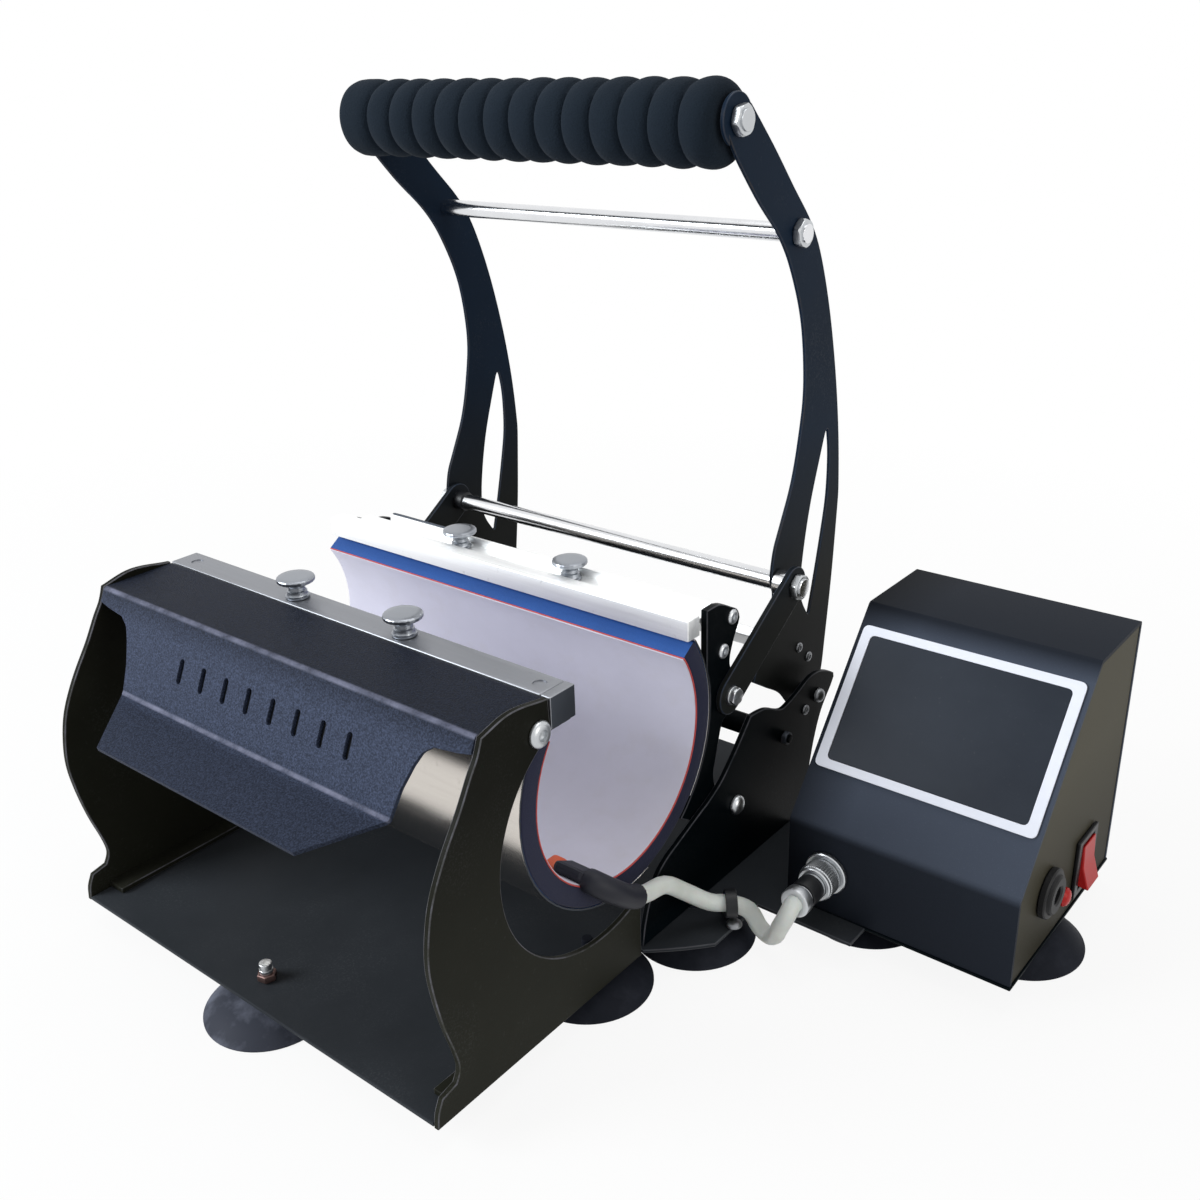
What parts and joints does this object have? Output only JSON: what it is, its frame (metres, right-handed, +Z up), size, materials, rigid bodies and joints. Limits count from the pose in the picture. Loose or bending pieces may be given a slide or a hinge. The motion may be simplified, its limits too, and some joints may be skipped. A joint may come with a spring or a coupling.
{
  "type": "cylindrical heat press",
  "caption": "Benchtop press that wraps a hanging heating mat round a tumbler when its long handle swings forward, with a control box at its side.",
  "frame": {"origin": "the bench_rest mount: on the bench, in the middle of the front suction cup's foremost rim, half-way between the front side plates", "axes": "+X along the cradle towards the control box, +Y from the front cover towards the handle, +Z up"},
  "size_m": [0.473, 0.3735, 0.4202],
  "materials": {
    "black_powder_coat": "satin black powder coat",
    "textured_powder_coat": "fine-textured black powder coat",
    "charcoal_paint": "satin charcoal paint",
    "satin_steel": "satin steel bar",
    "stainless_sheet": "bright stainless sheet",
    "aluminium": "satin aluminium bar",
    "chrome": "polished chrome plate",
    "zinc_plate": "bright zinc plate",
    "black_rubber": "moulded black rubber",
    "silicone_foam": "blue silicone foam with a pale coated face",
    "grip_foam": "matte closed-cell foam",
    "display_film": "dark display window in a white printed border",
    "black_plastic": "moulded black plastic",
    "red_plastic": "translucent red plastic",
    "glass_sleeve": "braided white glass-fibre sleeve"
  },
  "bodies": {
    "root": {"base_plate": "black_powder_coat", "front_side_plate_left": "black_powder_coat", "front_side_plate_right": "black_powder_coat", "front_cover": "textured_powder_coat", "front_clamp_bar": "satin_steel", "front_tie_rod": "zinc_plate", "rear_bracket_left": "black_powder_coat", "rear_bracket_right": "black_powder_coat", "bracket_tie_rod": "black_powder_coat", "mat_front": "silicone_foam", "backing_front": "stainless_sheet", "mat_bridge": "silicone_foam", "heater_terminal": "black_plastic", "heater_lead": "glass_sleeve", "lead_plug": "zinc_plate", "lead_clip": "black_plastic", "panel_socket": "zinc_plate", "box_shell": "charcoal_paint", "box_side_left": "charcoal_paint", "box_side_right": "charcoal_paint", "box_floor": "charcoal_paint", "display_panel": "display_film", "switch_housing": "black_plastic", "pilot_lamp": "red_plastic", "cord_gland": "black_plastic", "front_suction_cup": "black_rubber", "cradle_suction_cup_left": "black_rubber", "cradle_suction_cup_right": "black_rubber", "ear_suction_cup_left": "black_rubber", "ear_suction_cup_right": "black_rubber", "outrigger_suction_cup": "black_rubber", "box_suction_cup": "black_rubber", "front_cup_nut": "zinc_plate", "handle_pivot_bolt_left": "zinc_plate", "handle_pivot_bolt_right": "zinc_plate", "jaw_pivot_bolt_left": "zinc_plate", "jaw_pivot_bolt_right": "zinc_plate"},
    "jaw": {"jaw_plate_left": "black_powder_coat", "jaw_plate_right": "black_powder_coat", "jaw_clamp_bar": "satin_steel", "jaw_crossmember": "satin_steel", "mat_rear": "silicone_foam", "backing_rear": "stainless_sheet"},
    "handle": {"handle_arm_left": "black_powder_coat", "handle_arm_right": "black_powder_coat", "grip": "grip_foam", "grip_rod": "zinc_plate", "upper_rod": "chrome", "lower_rod": "chrome", "arm_cross_bar": "aluminium"},
    "links": {"link_left": "black_powder_coat", "link_right": "black_powder_coat"},
    "front_thumb_screw_left": {"front_thumb_screw_left": "zinc_plate"},
    "front_thumb_screw_right": {"front_thumb_screw_right": "zinc_plate"},
    "jaw_thumb_screw_left": {"jaw_thumb_screw_left": "zinc_plate"},
    "jaw_thumb_screw_right": {"jaw_thumb_screw_right": "zinc_plate"},
    "plug_ring": {"plug_ring": "zinc_plate"},
    "power_rocker": {"power_rocker": "red_plastic"}
  },
  "joints": [
    {"name": "handle_swing", "type": "hinge", "parent": "root", "child": "handle", "pos_m": [0, 0.3255, 0.088], "axis": [1, 0, 0], "range_deg": [0, 22]},
    {"name": "jaw_swing", "type": "hinge", "parent": "root", "child": "jaw", "pos_m": [0, 0.2415, 0.058], "axis": [1, 0, 0], "range_deg": [0, 28], "deforming": ["mat_bridge"]},
    {"name": "links_swing", "type": "hinge", "parent": "handle", "child": "links", "pos_m": [0, 0.2975, 0.165], "axis": [1, 0, 0], "range_deg": [-29, 0]},
    {"name": "front_thumb_screw_left_turn", "type": "hinge", "parent": "root", "child": "front_thumb_screw_left", "pos_m": [-0.0385, 0.1055, 0.1843], "axis": [0, 0, 1], "continuous": true},
    {"name": "front_thumb_screw_right_turn", "type": "hinge", "parent": "root", "child": "front_thumb_screw_right", "pos_m": [0.0385, 0.1055, 0.1843], "axis": [0, 0, 1], "continuous": true},
    {"name": "jaw_thumb_screw_left_turn", "type": "hinge", "parent": "jaw", "child": "jaw_thumb_screw_left", "pos_m": [-0.0405, 0.222, 0.173], "axis": [0, 0, 1], "continuous": true},
    {"name": "jaw_thumb_screw_right_turn", "type": "hinge", "parent": "jaw", "child": "jaw_thumb_screw_right", "pos_m": [0.0405, 0.222, 0.173], "axis": [0, 0, 1], "continuous": true},
    {"name": "plug_ring_turn", "type": "hinge", "parent": "root", "child": "plug_ring", "pos_m": [0.192, 0.2241, 0.041], "axis": [0, 1, 0], "continuous": true},
    {"name": "power_rocker_tilt", "type": "hinge", "parent": "root", "child": "power_rocker", "pos_m": [0.2935, 0.3265, 0.04], "axis": [0, 1, 0], "range_deg": [0, 20]}
  ],
  "couplings": [
    {"joint": "jaw_swing", "follows": "handle_swing", "ratio": 1.26},
    {"joint": "links_swing", "follows": "handle_swing", "ratio": -1.28}
  ]
}
